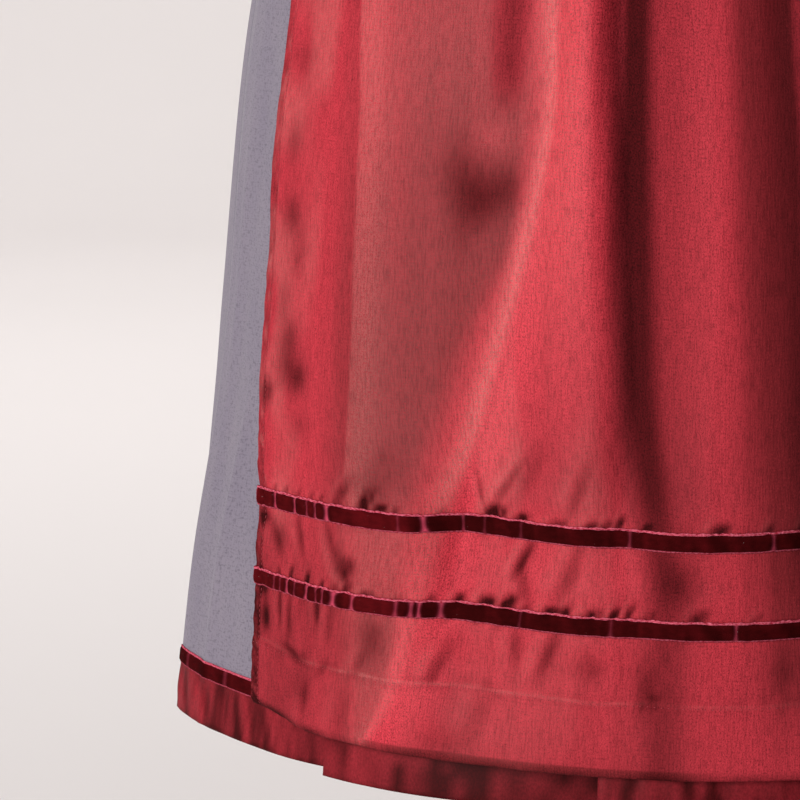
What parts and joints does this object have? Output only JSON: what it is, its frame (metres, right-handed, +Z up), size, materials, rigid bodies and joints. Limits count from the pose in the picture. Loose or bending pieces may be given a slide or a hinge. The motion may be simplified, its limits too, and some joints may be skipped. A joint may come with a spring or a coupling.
{
  "type": "dirndl",
  "caption": "Knee-length folk dress with a strapped bodice, a pleated skirt with a satin hem border, and a gathered silky apron trimmed with velvet ribbon.",
  "frame": {"origin": "middle of the waist, level with the seam between bodice and skirt, where the wearer holds the dress up", "axes": "+Z up along the body, the wearer faces -Y, +X is to the right of someone looking at the front"},
  "size_m": [0.5974, 0.578, 1.082],
  "materials": {
    "grey_cotton": "matte fine cotton, grey-lilac",
    "red_taffeta": "shot taffeta, red with a greyish cross thread, soft lustre",
    "red_satin": "satin, deep red",
    "velvet_ribbon": "burgundy velvet pile with woven edges",
    "button": "plain grey button"
  },
  "bodies": {
    "root": {"skirt_front": "grey_cotton", "skirt_back": "grey_cotton", "hem_border_front": "red_satin", "hem_border_back": "red_satin", "hem_ribbon_front": "velvet_ribbon", "hem_ribbon_back": "velvet_ribbon", "apron": "red_taffeta", "apron_ribbon_lower": "velvet_ribbon", "apron_ribbon_upper": "velvet_ribbon", "apron_waistband": "red_taffeta", "apron_tie_left": "red_taffeta", "apron_tie_right": "red_taffeta", "bow_knot": "red_taffeta", "bow_loop_left": "red_taffeta", "bow_loop_right": "red_taffeta", "bow_tail_left": "red_taffeta", "bow_tail_right": "red_taffeta", "bodice_front_left": "grey_cotton", "bodice_front_right": "grey_cotton", "bodice_side_front_left": "grey_cotton", "bodice_side_front_right": "grey_cotton", "bodice_side_back_left": "grey_cotton", "bodice_side_back_right": "grey_cotton", "bodice_back": "grey_cotton", "strap_left": "grey_cotton", "strap_right": "grey_cotton", "button_1": "button", "button_2": "button", "button_3": "button", "button_4": "button", "button_5": "button", "button_6": "button"}
  },
  "joints": []
}
